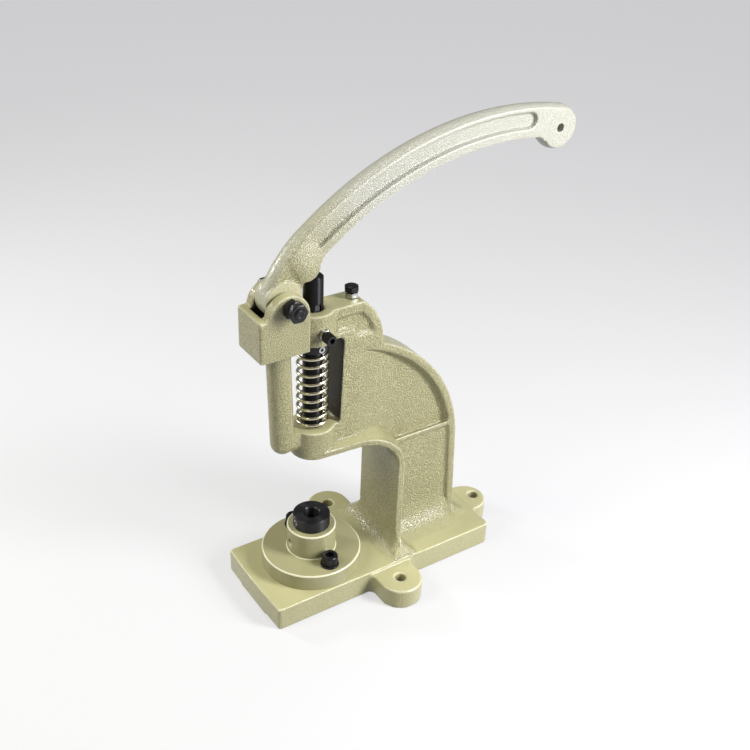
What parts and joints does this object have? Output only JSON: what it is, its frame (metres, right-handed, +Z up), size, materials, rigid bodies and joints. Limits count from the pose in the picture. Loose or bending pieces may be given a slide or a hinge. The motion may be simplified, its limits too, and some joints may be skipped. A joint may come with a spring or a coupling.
{
  "type": "hand lever press",
  "caption": "Hand lever press for setting snaps and eyelets: cast C-frame on a bolt-down base, curved lever, spring-returned plunger and a round die table.",
  "frame": {"origin": "on the base's bottom face, under the axis of the plunger and the die table", "axes": "+Z up along the plunger, +X from the plunger to the column at the rear, +Y across the press, away from the guide screw"},
  "size_m": [0.2852, 0.149, 0.3766],
  "materials": {
    "olive_paint": "pale olive paint over cast iron",
    "black_oxide": "black oxide",
    "zinc_plate": "zinc plate",
    "spring_steel": "bright drawn wire"
  },
  "bodies": {
    "press_frame": {"frame_casting": "olive_paint", "pivot_bolt": "black_oxide", "pivot_nut": "black_oxide", "pivot_lock_nut": "black_oxide", "return_spring": "spring_steel", "guide_screw": "black_oxide", "guide_lock_nut": "zinc_plate", "stop_bolt": "black_oxide", "stop_lock_nut": "zinc_plate", "die_table": "olive_paint", "die_socket": "black_oxide", "die_set_screw": "zinc_plate", "hub_set_screw": "black_oxide", "table_screw_near": "black_oxide", "table_screw_far": "black_oxide", "table_washer_near": "black_oxide", "table_washer_far": "black_oxide"},
    "hand_lever": {"lever": "olive_paint"},
    "ram": {"plunger": "black_oxide", "spring_collar": "black_oxide", "collar_set_screw": "zinc_plate", "upper_die_set_screw": "black_oxide"}
  },
  "joints": [
    {"name": "lever_swing", "type": "hinge", "parent": "press_frame", "child": "hand_lever", "pos_m": [-0.0275, 0, 0.268], "axis": [0, 1, 0], "range_deg": [0, 42.5]},
    {"name": "plunger_slide", "type": "slide", "parent": "press_frame", "child": "ram", "axis": [0, 0, -1], "range_m": [0, 0.0179], "stiffness_N_per_m": 5000, "springref_m": -0.015, "deforming": ["return_spring"]}
  ],
  "couplings": [
    {"joint": "plunger_slide", "follows": "lever_swing", "m_per_rad": 0.024132}
  ]
}
